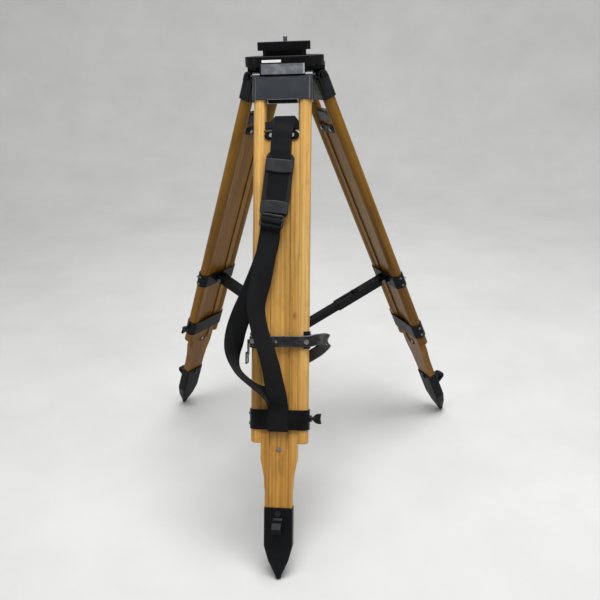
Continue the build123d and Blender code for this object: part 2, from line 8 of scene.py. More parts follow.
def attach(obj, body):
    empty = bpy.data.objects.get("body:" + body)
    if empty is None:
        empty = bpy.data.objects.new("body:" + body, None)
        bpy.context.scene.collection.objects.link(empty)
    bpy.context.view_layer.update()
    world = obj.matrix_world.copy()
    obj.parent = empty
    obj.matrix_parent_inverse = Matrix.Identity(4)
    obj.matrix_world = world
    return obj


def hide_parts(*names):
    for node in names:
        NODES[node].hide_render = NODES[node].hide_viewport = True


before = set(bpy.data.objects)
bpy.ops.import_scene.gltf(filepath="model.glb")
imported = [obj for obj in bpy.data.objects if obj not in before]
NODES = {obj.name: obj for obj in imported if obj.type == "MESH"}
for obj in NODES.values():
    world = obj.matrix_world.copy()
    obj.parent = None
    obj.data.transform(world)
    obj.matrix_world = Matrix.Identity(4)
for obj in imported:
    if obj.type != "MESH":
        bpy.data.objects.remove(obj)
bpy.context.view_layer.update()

# Surveyor tripod. Metres, +Z up, origin at the centre of the instrument seat, front leg toward -Y.
SEAT = 1.103
TILT = math.radians(22.5)
LEGS = {"front": 0.0, "right": 120.0, "left": -120.0}
GROOVE_EDGE = 0.0215
ROD_INNER_EDGE = 0.035
SHOE_TOP = 0.93


# ------------------------------------------------------------------ camera
yaw, pitch, roll = math.radians(7.156), math.radians(22.549), math.radians(-2.172)
right = Vector((math.cos(yaw), math.sin(yaw), 0))
ahead = Vector((-math.sin(yaw) * math.cos(pitch), math.cos(yaw) * math.cos(pitch), -math.sin(pitch)))
up = right.cross(ahead)
right2 = right * math.cos(roll) + up * math.sin(roll)
up2 = up * math.cos(roll) - right * math.sin(roll)
cam_data = bpy.data.cameras.new("camera")
cam_data.sensor_width = 36.0
cam_data.lens = 38.4
cam_data.shift_x = 0.0012
cam_data.shift_y = 0.0061
cam_data.clip_start = 0.05
cam_data.clip_end = 60.0
camera = bpy.data.objects.new("camera", cam_data)
bpy.context.collection.objects.link(camera)
basis = Matrix((right2, up2, -ahead)).transposed().to_4x4()
camera.matrix_world = Matrix.Translation((0.204, -1.551, 1.109 - SEAT)) @ basis
bpy.context.scene.camera = camera


# ------------------------------------------------------------------ node helpers
class Shader:
    """A material under construction; node() adds a node, wires its inputs and returns it."""

    def __init__(self, name):
        self.mat = bpy.data.materials.new(name)
        self.mat.use_nodes = True
        self.tree = self.mat.node_tree
        self.bsdf = self.tree.nodes["Principled BSDF"]

    def node(self, kind, inputs=None, **props):
        made = self.tree.nodes.new(kind)
        for key, value in props.items():
            setattr(made, key, value)
        for key, value in (inputs or {}).items():
            self.feed(made.inputs[key], value)
        return made

    def feed(self, socket, value):
        if isinstance(value, bpy.types.NodeSocket):
            self.tree.links.new(value, socket)
        else:
            socket.default_value = value

    def set(self, **values):
        for key, value in values.items():
            self.feed(self.bsdf.inputs[key.replace("_", " ")], value)

    def noise(self, vector, scale, detail=4.0, rough=0.5, distort=0.0):
        made = self.node("ShaderNodeTexNoise", {"Vector": vector, "Scale": scale, "Detail": detail,
                                                "Roughness": rough, "Distortion": distort})
        return made.outputs["Fac"]

    def ramp(self, fac, stops):
        made = self.node("ShaderNodeValToRGB", {"Fac": fac})
        ramp = made.color_ramp
        while len(ramp.elements) < len(stops):
            ramp.elements.new(0.5)
        for element, (place, colour) in zip(ramp.elements, stops):
            element.position = place
            if isinstance(colour, (int, float)):
                colour = (colour, colour, colour)
            element.color = (*colour, 1.0)
        return made.outputs["Color"]

    def math(self, op, a, b=0.0, c=None, clamp=False):
        made = self.node("ShaderNodeMath", operation=op, use_clamp=clamp)
        self.feed(made.inputs[0], a)
        self.feed(made.inputs[1], b)
        if c is not None:
            self.feed(made.inputs[2], c)
        return made.outputs[0]

    def mix(self, fac, a, b, blend="MIX"):
        made = self.node("ShaderNodeMixRGB", {"Fac": fac}, blend_type=blend)
        for socket, value in ((made.inputs[1], a), (made.inputs[2], b)):
            self.feed(socket, (*value, 1.0) if isinstance(value, tuple) and len(value) == 3 else value)
        return made.outputs[0]

    def bump(self, height, distance, strength=1.0, below=None):
        made = self.node("ShaderNodeBump", {"Height": height, "Distance": distance, "Strength": strength})
        if below is not None:
            self.tree.links.new(below, made.inputs["Normal"])
        return made.outputs["Normal"]

    def mapped(self, vector, scale=(1, 1, 1), location=(0, 0, 0), rotation=(0, 0, 0)):
        made = self.node("ShaderNodeMapping", {"Vector": vector, "Scale": scale, "Location": location,
                                               "Rotation": rotation})
        return made.outputs["Vector"]

    def coords(self, kind="Object"):
        return self.node("ShaderNodeTexCoord").outputs[kind]

    def leg_coords(self, azimuth):
        """Object coordinates turned so that X runs across the leg and -Z down its length."""
        turned = self.mapped(self.coords(), rotation=(0, 0, math.radians(-azimuth)))
        moved = self.mapped(turned, location=(0, 0.061, SEAT - 1.030))
        return self.mapped(moved, rotation=(TILT, 0, 0))

    def split(self, vector):
        return self.node("ShaderNodeSeparateXYZ", {"Vector": vector}).outputs

    def convex_edge_mask(self, width=0.0016):
        """1 near convex edges, 0 on flats."""
        bevel = self.node("ShaderNodeBevel", {"Radius": width}, samples=4)
        geometry = self.node("ShaderNodeNewGeometry")
        both = {0: bevel.outputs[0], 1: geometry.outputs["Normal"]}
        dot = self.node("ShaderNodeVectorMath", both, operation="DOT_PRODUCT")
        return self.math("SUBTRACT", 1.0, dot.outputs["Value"], clamp=True)


# ------------------------------------------------------------------ materials
def make_wood(name, azimuth, seed, light, mid, dark, board=False, marks=False, varnish=0.15):
    m = Shader(name)
    leg = m.leg_coords(azimuth)
    shifted = m.mapped(leg, location=(seed * 0.37, seed * 0.11, seed * 0.53))
    broad = m.noise(m.mapped(shifted, scale=(26, 26, 1.5)), 1.0, 5.0, 0.55, 0.25)
    streaks = m.noise(m.mapped(shifted, scale=(170, 170, 3.2)), 1.0, 4.0, 0.6, 0.1)
    fibres = m.noise(m.mapped(shifted, scale=(900, 900, 14)), 1.0, 3.0, 0.6)
    blotch = m.noise(m.mapped(shifted, scale=(7, 7, 2.2)), 1.0, 2.0, 0.5)
    wavy = m.mapped(shifted, scale=(1, 1, 0.035))
    rings = m.node("ShaderNodeTexWave", {"Vector": wavy, "Scale": 24.0 if board else 34.0, "Distortion": 11.0,
                                         "Detail": 3.0, "Detail Scale": 1.2, "Detail Roughness": 0.55},
                   wave_type="BANDS", bands_direction="X").outputs["Fac"]
    tone = m.math("MULTIPLY_ADD", broad, 0.50, m.math("MULTIPLY", rings, 0.07))
    tone = m.math("MULTIPLY_ADD", streaks, 0.24, m.math("ADD", tone, 0.115))
    lightest = tuple(min(1, c * 1.12) for c in light)
    colour = m.ramp(tone, [(0.30, dark), (0.50, mid), (0.68, light), (0.86, lightest)])
    figure = m.noise(m.mapped(shifted, scale=(60, 60, 16)), 1.0, 4.0, 0.6, 0.4)
    colour = m.mix(m.ramp(figure, [(0.50, 0.0), (0.74, 0.45)]), colour, dark)
    shade = m.ramp(blotch, [(0.30, 0.80), (0.70, 1.06)])
    colour = m.mix(1.0, colour, shade, "MULTIPLY")
    pores = m.ramp(fibres, [(0.34, 0.62), (0.50, 1.0)])
    colour = m.mix(0.32, colour, pores, "MULTIPLY")
    across_leg, _, up_leg = m.split(leg)[:3]
    # Darker and more orange towards the foot; the darkening is painted shade.
    foot_shade = m.ramp(m.math("MULTIPLY", up_leg, -1.0), [(0.35, 0.0), (0.95, 0.75)])
    colour = m.mix(foot_shade, colour, m.mix(1.0, colour, (0.86, 0.70, 0.40), "MULTIPLY"))
    # Painted shade in the seams: a dark line along each groove edge on the board, and the rails darkened
    # along their inner side towards the board.
    side = m.math("ABSOLUTE", across_leg)
    if board:
        gap = m.math("ABSOLUTE", m.math("SUBTRACT", side, GROOVE_EDGE))
        seam_shade = m.ramp(m.math("MULTIPLY", gap, 300.0), [(0.10, 0.55), (0.55, 0.0)])
    else:
        gap = m.math("SUBTRACT", side, ROD_INNER_EDGE)
        seam_shade = m.ramp(m.math("MULTIPLY", gap, 100.0), [(0.05, 0.6), (0.55, 0.0)])
    colour = m.mix(seam_shade, colour, (0.10, 0.040, 0.010))
    if marks:
        x, _, z = m.split(leg)[:3]
        across = m.math("SUBTRACT", x, 0.032)
        down = m.math("MULTIPLY", m.math("ADD", z, 0.529), 0.6)
        span = m.math("SQRT", m.math("ADD", m.math("POWER", across, 2.0), m.math("POWER", down, 2.0)))
        span = m.math("MULTIPLY_ADD", m.math("SUBTRACT", blotch, 0.5), 0.003, span)
        knot = m.ramp(m.math("MULTIPLY", span, 100.0), [(0.12, 1.0), (0.36, 0.45), (0.75, 0.0)])
        colour = m.mix(m.math("MULTIPLY", knot, 0.8), colour, (0.20, 0.075, 0.020))
        near = m.ramp(m.math("MULTIPLY", m.math("ABSOLUTE", x), 60.0), [(0.15, 1.0), (0.9, 0.0)])
        height = m.math("MULTIPLY", m.math("ADD", z, 0.900), 8.0)
        low = m.ramp(height, [(0.0, 0.0), (0.25, 1.0), (0.60, 1.0), (0.9, 0.0)])
        runs = m.noise(m.mapped(leg, scale=(230, 230, 22)), 1.0, 4.0, 0.65)
        drip = m.ramp(runs, [(0.46, 0.0), (0.62, 1.0)])
        stain = m.math("MULTIPLY", m.math("MULTIPLY", near, low), drip)
        colour = m.mix(m.math("MULTIPLY", stain, 0.5), colour, (0.07, 0.035, 0.018))
    m.set(Base_Color=colour, Roughness=m.ramp(streaks, [(0.3, 0.30), (0.7, 0.42)]))
    m.set(Coat_Weight=varnish, Coat_Roughness=0.20, Specular_IOR_Level=0.15 + varnish)
    height = m.math("MULTIPLY_ADD", fibres, 0.6, streaks)
    m.set(Normal=m.bump(height, 0.00012, 0.6))
    return m.mat


def make_black(name, base, rough=0.45, grain=900.0, depth=0.00008, wear_and_highlight=0.25, gloss=0.2, dust=0.2):
    m = Shader(name)
    where = m.coords()
    speck = m.noise(where, grain, 3.0, 0.6)
    cloud = m.noise(where, 22.0, 4.0, 0.6)
    edge = m.ramp(m.convex_edge_mask(), [(0.02, 0.0), (0.16, 1.0)])
    edge = m.math("MULTIPLY", edge, m.ramp(m.noise(where, 120.0, 4.0, 0.7), [(0.42, 0.0), (0.62, 1.0)]))
    dusty = m.mix(m.math("MULTIPLY", m.ramp(cloud, [(0.42, 0.0), (0.72, 1.0)]), dust), base,
                  tuple(c * 1.8 + 0.004 for c in base))
    # Convex edges are lightened: wear, and on the adjuster also a painted highlight along its rim.
    worn_and_highlit = m.mix(m.math("MULTIPLY", edge, wear_and_highlight), dusty, (0.13, 0.13, 0.135))
    m.set(Base_Color=worn_and_highlit, Specular_IOR_Level=gloss)
    m.set(Roughness=m.ramp(cloud, [(0.3, rough - 0.07), (0.7, rough + 0.1)]))
    m.set(Normal=m.bump(speck, depth, 0.8))
    return m.mat


def make_steel(name, base, azimuth_scale=(40, 40, 900), rough=0.3):
    m = Shader(name)
    where = m.coords()
    lines = m.noise(m.mapped(where, scale=azimuth_scale), 1.0, 3.0, 0.6)
    m.set(Base_Color=m.mix(m.ramp(lines, [(0.3, 0.0), (0.7, 1.0)]), tuple(c * 0.8 for c in base), base))
    m.set(Metallic=1.0, Roughness=m.ramp(lines, [(0.3, rough - 0.06), (0.7, rough + 0.12)]))
    m.set(Normal=m.bump(lines, 0.00003, 0.5))
    return m.mat


def make_hardware(name):
    """Bright rivets on the belt, dark enamel on the buckle at its left end."""
    m = Shader(name)
    where = m.coords()
    speck = m.noise(where, 300.0, 3.0, 0.6)
    buckle = m.math("LESS_THAN", m.split(where)[0], -0.068)
    rivet = m.mix(m.ramp(speck, [(0.3, 0.0), (0.7, 1.0)]), (0.28, 0.28, 0.28), (0.46, 0.46, 0.46))
    enamel = m.mix(m.ramp(speck, [(0.4, 0.0), (0.75, 1.0)]), (0.010, 0.010, 0.011), (0.035, 0.035, 0.037))
    m.set(Base_Color=m.mix(buckle, rivet, enamel), Specular_IOR_Level=0.35)
    m.set(Metallic=m.math("SUBTRACT", 1.0, buckle))
    m.set(Roughness=m.ramp(speck, [(0.3, 0.34), (0.7, 0.46)]), Normal=m.bump(speck, 0.00004, 0.5))
    return m.mat


def make_fasteners(name, azimuth):
    """Zinc bolts on the board, a dark bolt on the shoe."""
    m = Shader(name)
    speck = m.noise(m.coords(), 300.0, 3.0, 0.6)
    on_shoe = m.math("LESS_THAN", m.split(m.leg_coords(azimuth))[2], -SHOE_TOP)
    plated = m.mix(m.ramp(speck, [(0.3, 0.0), (0.7, 1.0)]), (0.30, 0.30, 0.30), (0.42, 0.41, 0.40))
    dark = m.mix(m.ramp(speck, [(0.4, 0.0), (0.75, 1.0)]), (0.006, 0.006, 0.007), (0.030, 0.030, 0.031))
    m.set(Base_Color=m.mix(on_shoe, plated, dark), Specular_IOR_Level=0.3)
    m.set(Metallic=m.math("SUBTRACT", 1.0, on_shoe))
    m.set(Roughness=m.ramp(speck, [(0.3, 0.34), (0.7, 0.46)]), Normal=m.bump(speck, 0.00004, 0.5))
    return m.mat


def make_webbing(name, base, lift):
    """Woven band; its UV map is in metres, U across and V along."""
    m = Shader(name)
    uv = m.split(m.coords("UV"))
    across = m.math("MULTIPLY", uv[0], 2 * math.pi / 0.0022)
    along = m.math("MULTIPLY", uv[1], 2 * math.pi / 0.0026)
    twill = m.math("SINE", m.math("ADD", along, m.math("ABSOLUTE", m.math("MULTIPLY", across, 0.5))))
    ribs = m.math("ABSOLUTE", m.math("SINE", m.math("MULTIPLY", across, 0.5)))
    weave = m.math("MULTIPLY_ADD", twill, 0.35, ribs)
    fuzz = m.noise(m.coords("UV"), 900.0, 3.0, 0.7)
    fade = m.noise(m.mapped(m.coords("UV"), scale=(14, 5, 1)), 1.0, 4.0, 0.6)
    tone = m.mix(m.ramp(weave, [(0.1, 0.0), (1.1, 1.0)]), tuple(c * 0.55 for c in base), lift)
    tone = m.mix(m.ramp(fade, [(0.35, 0.0), (0.75, 0.6)]), tone, tuple(c * 1.3 for c in lift))
    tone = m.mix(m.ramp(fuzz, [(0.55, 0.0), (0.8, 0.2)]), tone, (0.04, 0.04, 0.043))
    m.set(Base_Color=tone, Roughness=0.85, Sheen_Weight=0.03, Sheen_Roughness=0.5, Specular_IOR_Level=0.10)
    m.set(Normal=m.bump(weave, 0.00035, 0.9, m.bump(fuzz, 0.0001, 0.5)))
    return m.mat


def make_rubber(name, base):
    m = Shader(name)
    where = m.coords()
    speck = m.noise(where, 1300.0, 3.0, 0.6)
    cloud = m.noise(where, 40.0, 4.0, 0.6)
    darker, lighter = tuple(c * 0.8 for c in base), tuple(c * 1.2 for c in base)
    m.set(Base_Color=m.mix(m.ramp(cloud, [(0.35, 0.0), (0.7, 1.0)]), darker, lighter))
    m.set(Roughness=m.ramp(cloud, [(0.3, 0.42), (0.7, 0.58)]), Specular_IOR_Level=0.3)
    m.set(Normal=m.bump(speck, 0.0001, 0.8))
    return m.mat


def make_leather(name):
    m = Shader(name)
    where = m.coords()
    cells = m.node("ShaderNodeTexVoronoi", {"Vector": where, "Scale": 750.0, "Randomness": 1.0},
                   feature="DISTANCE_TO_EDGE")
    grain = m.ramp(cells.outputs["Distance"], [(0.0, 0.0), (0.35, 1.0)])
    creases = m.noise(m.mapped(where, scale=(1, 1, 3)), 90.0, 5.0, 0.7, 0.6)
    scuff = m.noise(where, 45.0, 5.0, 0.65)
    base = m.mix(m.ramp(scuff, [(0.45, 0.0), (0.75, 1.0)]), (0.006, 0.0058, 0.0058), (0.026, 0.025, 0.0245))
    edge = m.ramp(m.convex_edge_mask(0.0015), [(0.03, 0.0), (0.2, 1.0)])
    m.set(Base_Color=m.mix(m.math("MULTIPLY", edge, 0.5), base, (0.14, 0.12, 0.10)))
    m.set(Roughness=m.ramp(scuff, [(0.35, 0.16), (0.7, 0.38)]), Specular_IOR_Level=0.75)
    height = m.math("MULTIPLY_ADD", grain, 0.3, creases)
    m.set(Normal=m.bump(height, 0.0004, 0.7))
    return m.mat


def make_label(name):
    """Brushed plate below, blank paper above it."""
    m = Shader(name)
    where = m.coords()
    z = m.split(where)[2]
    paper = m.math("GREATER_THAN", z, 1.0595 - SEAT)
    lines = m.noise(m.mapped(where, scale=(14, 14, 1500)), 1.0, 3.0, 0.6)
    metal = m.mix(m.ramp(lines, [(0.3, 0.0), (0.7, 1.0)]), (0.26, 0.28, 0.32), (0.42, 0.45, 0.50))
    rubbed = m.noise(m.mapped(where, scale=(60, 60, 110)), 1.0, 5.0, 0.7)
    metal = m.mix(m.ramp(rubbed, [(0.46, 0.0), (0.66, 1.0)]), metal, (0.62, 0.65, 0.70))
    # Painted highlight: the plate's right end, where a bevel catches the light, is painted near white.
    bevel_highlight = m.math("GREATER_THAN", m.split(where)[0], 0.0462)
    metal = m.mix(bevel_highlight, metal, (0.80, 0.81, 0.83))
    smudge = m.noise(where, 160.0, 4.0, 0.6)
    white = m.mix(m.ramp(smudge, [(0.4, 0.0), (0.8, 0.5)]), (0.93, 0.93, 0.92), (0.75, 0.74, 0.72))
    m.set(Base_Color=m.mix(paper, metal, white), Metallic=m.math("SUBTRACT", 1.0, paper))
    m.set(Roughness=m.math("MULTIPLY_ADD", paper, 0.4, 0.33))
    m.set(Normal=m.bump(lines, 0.00002, 0.5))
    return m.mat


# Wood colours: light, mid, dark. The rear legs' wood is darker and browner than the front leg's, partly its
# own tone and partly painted shade.
HONEY = ((0.70, 0.450, 0.150), (0.53, 0.300, 0.076), (0.27, 0.120, 0.020))
SHADED_AMBER = ((0.31, 0.160, 0.016), (0.200, 0.093, 0.008), (0.09, 0.036, 0.004))
rail_wood = {}
board_wood = {}
for index, (leg, azimuth) in enumerate(LEGS.items()):
    shades = HONEY if leg == "front" else SHADED_AMBER
    varnish = 0.15 if leg == "front" else 0.04
    for side in ("a", "b"):
        seed = index * 2 + (side == "b") + 1
        finish = make_wood("wood_rail_" + side + "_" + leg, azimuth, seed, *shades, varnish=varnish)
        rail_wood[side + leg] = finish
    board_wood[leg] = make_wood("wood_board_" + leg, azimuth, index + 9, *shades, board=True,
                                marks=leg == "front", varnish=varnish)
head_paint = make_black("head_enamel", (0.0030, 0.0032, 0.0038), 0.42, 700.0, 0.00010, gloss=0.12)
# The front casting's enamel is a lighter slate than the other castings': a painted reflection on the same
# black enamel.
front_casting_reflection_paint = make_black("front_casting_painted_reflection", (0.0230, 0.0258, 0.0320), 0.20, 420.0, 0.000015,
                                 wear_and_highlight=0.03, gloss=0.5, dust=0.1)
casting_paint = make_black("casting_enamel", (0.0050, 0.0056, 0.0070),
                           0.26, 420.0, 0.000015, wear_and_highlight=0.03, gloss=0.3, dust=0.1)
steel_paint = make_black("steel_enamel", (0.0032, 0.0032, 0.0037), 0.36, 1200.0, 0.00006, gloss=0.14)
plastic = make_black("black_nylon", (0.0050, 0.0050, 0.0056), 0.46, 1600.0, 0.00006, wear_and_highlight=0.08, gloss=0.18)
shoe_paint = make_black("shoe_enamel", (0.0034, 0.0038, 0.0050),
                        0.42, 500.0, 0.00016, wear_and_highlight=0.4, gloss=0.12, dust=0.25)
pedal_paint = make_black("pedal_enamel", (0.0030, 0.0033, 0.0040),
                         0.42, 500.0, 0.00016, wear_and_highlight=0.5, gloss=0.14, dust=0.2)
# The adjuster's edges are painted much lighter than its face: a painted highlight along its rim, over slight
# wear.
frame_plastic = make_black("adjuster_nylon", (0.0100, 0.0105, 0.0120),
                           0.36, 1600.0, 0.00004, wear_and_highlight=0.9, gloss=0.4)
rivet_steel = make_steel("rivet_steel", (0.22, 0.22, 0.23), (300, 300, 300), 0.42)
dull_steel = make_steel("dull_steel", (0.16, 0.16, 0.17), (300, 300, 300), 0.36)
hardware = make_hardware("belt_hardware")
webbing = make_webbing("black_webbing", (0.0012, 0.0013, 0.0015), (0.0072, 0.0076, 0.0086))
rubber = make_rubber("slate_rubber", (0.0135, 0.0150, 0.0178))
dark_rubber = make_rubber("pad_body_rubber", (0.0036, 0.0040, 0.0050))
leather = make_leather("black_leather")
label = make_label("plate_and_paper")


def paint(node, material):
    mesh = NODES[node].data
    mesh.materials.clear()
    mesh.materials.append(material)


paint("head_plate", head_paint)
paint("instrument_plate", head_paint)
paint("instrument_screw", dull_steel)
paint("head_labels", label)
for node in ("hinge_pins", "hub", "hub_pins"):
    paint(node, steel_paint)
paint("belt_hardware", hardware)
for leg in LEGS:
    paint("rail_a_" + leg, rail_wood["a" + leg])
    paint("rail_b_" + leg, rail_wood["b" + leg])
    paint("board_" + leg, board_wood[leg])
    paint("hinge_casting_" + leg, front_casting_reflection_paint if leg == "front" else casting_paint)
    paint("bridge_" + leg, casting_paint)
    paint("board_fasteners_" + leg, make_fasteners("board_fasteners_finish_" + leg, LEGS[leg]))
    paint("rail_fasteners_" + leg, rivet_steel)
    for node in ("spreader_band_", "clamp_collar_", "guide_plates_", "arm_outer_", "arm_inner_"):
        paint(node + leg, steel_paint)
    for node in ("clamp_screw_", "arm_lock_"):
        paint(node + leg, plastic)
    paint("shoe_" + leg, shoe_paint)
    paint("foot_pedal_" + leg, pedal_paint)


# ------------------------------------------------------------------ soft goods
ON_FRONT_LEG = Matrix.Translation((0, -0.061, 1.030 - SEAT)) @ Matrix.Rotation(-TILT, 4, "X")


def leg_frame(t, s, turn):
    """Place on the front leg: t across and s down it in millimetres, turned in its plane by turn degrees."""
    spot = ON_FRONT_LEG @ Matrix.Translation((t / 1000, 0, -s / 1000))
    return spot @ Matrix.Rotation(math.radians(turn), 4, "Y")


def smooth_stations(stations, step):
    """Catmull-Rom through the stations, resampled about every step millimetres."""
    pts = np.array(stations, float)
    ends = np.vstack([2 * pts[0] - pts[1], pts, 2 * pts[-1] - pts[-2]])
    dense = []
    for i in range(1, len(ends) - 2):
        p0, p1, p2, p3 = ends[i - 1:i + 3]
        gap = [max(np.linalg.norm(b[:3] - a[:3]), 1e-6) ** 0.5 for a, b in ((p0, p1), (p1, p2), (p2, p3))]
        t1 = gap[0]
        t2 = t1 + gap[1]
        t3 = t2 + gap[2]
        count = max(2, int(np.linalg.norm(p2[:3] - p1[:3]) / step) + 1)
        for u in np.linspace(t1, t2, count, endpoint=False):
            a1 = (t1 - u) / t1 * p0 + u / t1 * p1
            a2 = (t2 - u) / (t2 - t1) * p1 + (u - t1) / (t2 - t1) * p2
            a3 = (t3 - u) / (t3 - t2) * p2 + (u - t2) / (t3 - t2) * p3
            b1 = (t2 - u) / t2 * a1 + u / t2 * a2
            b2 = (t3 - u) / (t3 - t1) * a2 + (u - t1) / (t3 - t1) * a3
            dense.append((t2 - u) / (t2 - t1) * b1 + (u - t1) / (t2 - t1) * b2)
    dense.append(pts[-1])
    return np.array(dense)


def band_mesh(name, stations, half_width, thickness, width_axis, step=2.5, cup=0.0, material=None):
    """A flat band with rounded selvedges. UV is in metres: U across, V along."""
    dense = smooth_stations(stations, step)
    place = np.stack([dense[:, 0], -dense[:, 2], -dense[:, 1]], 1)
    ahead = np.gradient(place, axis=0)
    ahead /= np.linalg.norm(ahead, axis=1)[:, None]
    outward = np.array([0.0, -1.0, 0.0])
    base = np.zeros_like(place)
    for i, along in enumerate(ahead):
        flat = along - outward * (along @ outward)
        base[i] = width_axis
        if np.linalg.norm(flat) > 0.3:
            level = flat / np.linalg.norm(flat)
            square = width_axis - level * (width_axis @ level)
            if np.linalg.norm(square) > 0.5:
                base[i] = square / np.linalg.norm(square)
    for _ in range(3):
        base[1:-1] = (base[:-2] + 2 * base[1:-1] + base[2:]) / 4
    base /= np.linalg.norm(base, axis=1)[:, None]
    turn = np.radians(dense[:, 3])[:, None]
    across = base * np.cos(turn) + outward * np.sin(turn)
    across -= ahead * np.sum(across * ahead, 1)[:, None]
    across /= np.linalg.norm(across, axis=1)[:, None]
    thick = np.cross(ahead, across)
    length = np.concatenate([[0], np.cumsum(np.linalg.norm(np.diff(place, axis=0), axis=1))])
    half = thickness / 2
    columns = np.linspace(-1, 1, 11)
    edge = half_width - half
    outline = [(c * edge, half, c) for c in columns]
    outline += [(edge + half * 0.8, half * 0.55, 1), (half_width, 0, 1), (edge + half * 0.8, -half * 0.55, 1)]
    outline += [(c * edge, -half, c) for c in columns[::-1]]
    outline += [(-edge - half * 0.8, -half * 0.55, -1), (-half_width, 0, -1)]
    outline += [(-edge - half * 0.8, half * 0.55, -1)]
    verts = []
    for i in range(len(place)):
        for x, y, c in outline:
            lift = cup * (c * c - 0.4) * math.sin(length[i] / 41.0 + 1.3)
            p = place[i] + across[i] * x + thick[i] * (y + lift)
            verts.append(ON_FRONT_LEG @ Vector(p / 1000))
    ring = len(outline)
    faces = []
    for i in range(len(place) - 1):
        for k in range(ring):
            m = (k + 1) % ring
            faces.append((i * ring + k, i * ring + m, (i + 1) * ring + m, (i + 1) * ring + k))
    faces.append(tuple(range(ring))[::-1])
    faces.append(tuple((len(place) - 1) * ring + k for k in range(ring)))
    mesh = bpy.data.meshes.new(name)
    mesh.from_pydata(verts, [], faces)
    layer = mesh.uv_layers.new(name="UVMap")
    for poly in mesh.polygons:
        for loop in poly.loop_indices:
            v = mesh.loops[loop].vertex_index
            i, k = divmod(v, ring)
            layer.data[loop].uv = (outline[k][0] / 1000, length[i] / 1000)
        poly.use_smooth = True
    mesh.validate()
    mesh.update()
    obj = bpy.data.objects.new(name, mesh)
    bpy.context.collection.objects.link(obj)
    mesh.materials.append(material)
    return obj


def bend(t, s, n, radius, start, end):
    """Stations on an arc about (s, n); the angle runs from +n toward +s."""
    out = []
    for i in range(5):
        turn = math.radians(start + (end - start) * i / 4)
        out.append((t, s + radius * math.sin(turn), n + radius * math.cos(turn), 0))
    return out


# one continuous band: over the bridge, through pad and adjuster, round the collar and back up
strap_path = [(6, 119.35, 12.0, 0)]
strap_path += bend(6, 115, -5, 4.25, 90, 180)
strap_path += bend(6, 93, -5, 4.25, 180, 270)
strap_path += bend(6, 93, 5, 4.25, 270, 360)
strap_path += [(5.5, 105, 10.2, 0), (4.5, 112, 12.8, 0), (3, 119, 16.2, 0), (2, 126, 18.4, 0)]
strap_path += [(0, 142, 18.9, 0), (-0.8, 157, 21, 0), (-1, 167, 22.9, 0), (-1.2, 182, 22.9, 0)]
strap_path += [(-15.1, 306, 22.9, 0)]
strap_path += [(-16, 311.5, 25.0, 0), (-17.4, 319.2, 31.8, 0), (-18.5, 325.8, 31.8, 0), (-20, 333.8, 25.0, 0)]
strap_path += [(-22.2, 346, 24, 0), (-28, 380, 25, 0), (-33, 412, 27, -2), (-40, 454, 31, -12)]
strap_path += [(-47, 485, 35, -27), (-49, 510, 38, -37), (-46, 535, 39, -42), (-40, 560, 40, -44)]
strap_path += [(-31, 588, 40, -44), (-23, 611, 39.5, -43), (-16, 636, 38, -40), (-11, 661, 36, -35)]
strap_path += [(-6, 688, 33, -28), (-3, 706, 30, -20), (-2, 721, 24.5, -8), (-1.7, 733, 19.4, 0)]
strap_path += bend(-1.7, 780.8, 15.5, 2.9, 0, 180)
strap_path += [(-1.7, 742, 12.6, 0), (-1.8, 735, 12.8, 0)]
strap_path += [(-3, 725, 13.8, -6), (-9, 715, 18, -24), (-18, 705, 26, -50), (-32, 694, 35, -74)]
strap_path += [(-53, 680, 38.5, -84)]
strap_path += [(-77, 663, 34, -86), (-92, 648, 28, -84), (-100, 631, 24, -72), (-103, 613, 21, -54)]
strap_path += [(-101, 588, 20, -28), (-96, 561, 20, -16), (-85, 528, 20, -8), (-71, 495, 20, 0)]
strap_path += [(-54, 454, 20, 0), (-38, 413, 20, 0), (-26, 375, 20, 0), (-22, 349, 20, 0)]
strap = band_mesh("strap", strap_path, 22.5, 1.7, np.array([1.0, 0, 0]), 2.5, 0.0, webbing)
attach(strap, "leg_front")
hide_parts("shoulder_strap")

BELT_FACE = 14.7 + 2.4 + 1.5
belt_path = [(-66, 587, BELT_FACE, 0), (0, 585.5, BELT_FACE, 0), (66, 584, BELT_FACE, 0), (78, 581, 17.0, 0)]
belt_path += [(92, 579, 13.5, 0), (101, 579, 7.0, 0), (104, 583, -1.0, 0), (99, 592, -9.0, 0)]
belt_path += [(86, 605, -15.0, 0), (70, 616, -19.0, 0), (50, 628, -20.0, 0)]
belt = band_mesh("belt", belt_path, 12.5, 2.8, np.array([0, 0, -1.0]), 2.5, 0.0, leather)
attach(belt, "leg_front")
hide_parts("closing_belt")


def rounded_rectangle(half_w, half_h, radius, steps=6):
    out = []
    for cx, cy, start in ((1, 1, 0), (-1, 1, 90), (-1, -1, 180), (1, -1, 270)):
        for i in range(steps + 1):
            a = math.radians(start + 90 * i / steps)
            out.append((cx * (half_w - radius) + radius * math.cos(a),
                        cy * (half_h - radius) + radius * math.sin(a)))
    return out


